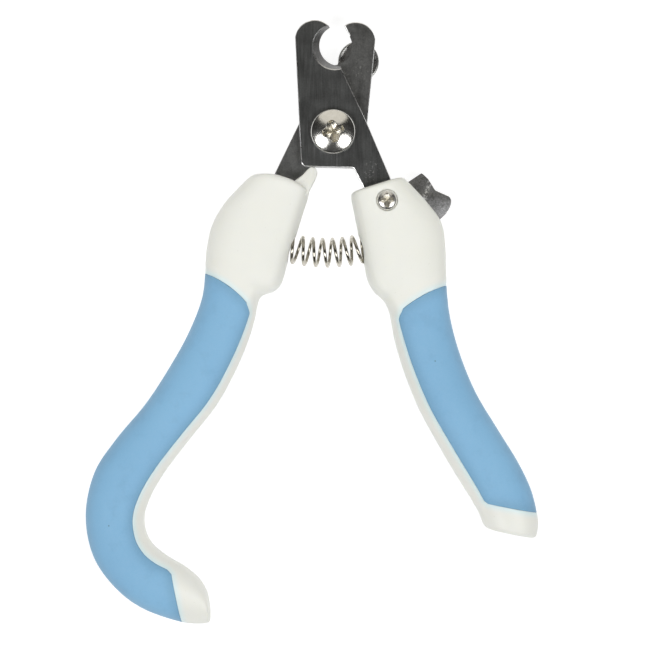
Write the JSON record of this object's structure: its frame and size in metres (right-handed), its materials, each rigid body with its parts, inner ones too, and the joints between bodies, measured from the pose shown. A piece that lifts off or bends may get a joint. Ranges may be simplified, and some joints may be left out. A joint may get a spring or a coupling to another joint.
{
  "type": "pet nail trimmer",
  "caption": "Hand-held pet nail trimmer with crossed notched blades, a swing-away safety guard, a return spring, a lock lever and soft-grip handles, one hooked.",
  "frame": {"origin": "on the pivot screw's axis, in the plane that the trimmer rests on, which is the flat end of the screw's shank", "axes": "+Z along the pivot screw towards its head, +Y towards the jaws, +X towards the handle that carries the lock lever"},
  "size_m": [0.1208, 0.1609, 0.0155],
  "materials": {
    "handle_plastic": "satin off-white moulded plastic",
    "grip_rubber": "matte light-blue soft-touch overmould",
    "blade_steel": "dark satin blade steel with fine scratches",
    "pressed_steel": "grey pressed steel, slightly grainy",
    "plated_steel": "bright nickel plate",
    "spring_steel": "bright spring wire",
    "washer_brass": "satin brass"
  },
  "bodies": {
    "left_side": {"left_front_shell": "handle_plastic", "left_back_shell": "handle_plastic", "left_grip": "grip_rubber", "rear_blade": "blade_steel", "left_tang_pin_upper": "plated_steel", "left_tang_pin_lower": "plated_steel", "pivot_screw": "plated_steel", "pivot_nut": "plated_steel", "guard_washer": "plated_steel", "return_spring": "spring_steel"},
    "right_side": {"right_front_shell": "handle_plastic", "right_back_shell": "handle_plastic", "right_grip": "grip_rubber", "front_blade": "blade_steel", "right_tang_pin": "plated_steel", "lock_screw": "plated_steel", "lock_washer": "washer_brass", "lock_nut": "plated_steel"},
    "safety_guard": {"safety_guard": "pressed_steel"},
    "lock_lever": {"lock_lever": "pressed_steel"}
  },
  "joints": [
    {"name": "handle_squeeze", "type": "hinge", "parent": "left_side", "child": "right_side", "pos_m": [0, 0, 0], "axis": [0, 0, -1], "range_deg": [0, 26], "stiffness_Nm_per_rad": 0.7, "springref_deg": -17.19, "deforming": ["return_spring"]},
    {"name": "guard_swing", "type": "hinge", "parent": "left_side", "child": "safety_guard", "pos_m": [0, 0, 0.0033], "axis": [0, 0, 1], "range_deg": [-60, 20]},
    {"name": "lock_turn", "type": "hinge", "parent": "right_side", "child": "lock_lever", "pos_m": [0.01427, -0.0184, 0.00345], "axis": [0, 0, 1], "range_deg": [0, 50]}
  ]
}
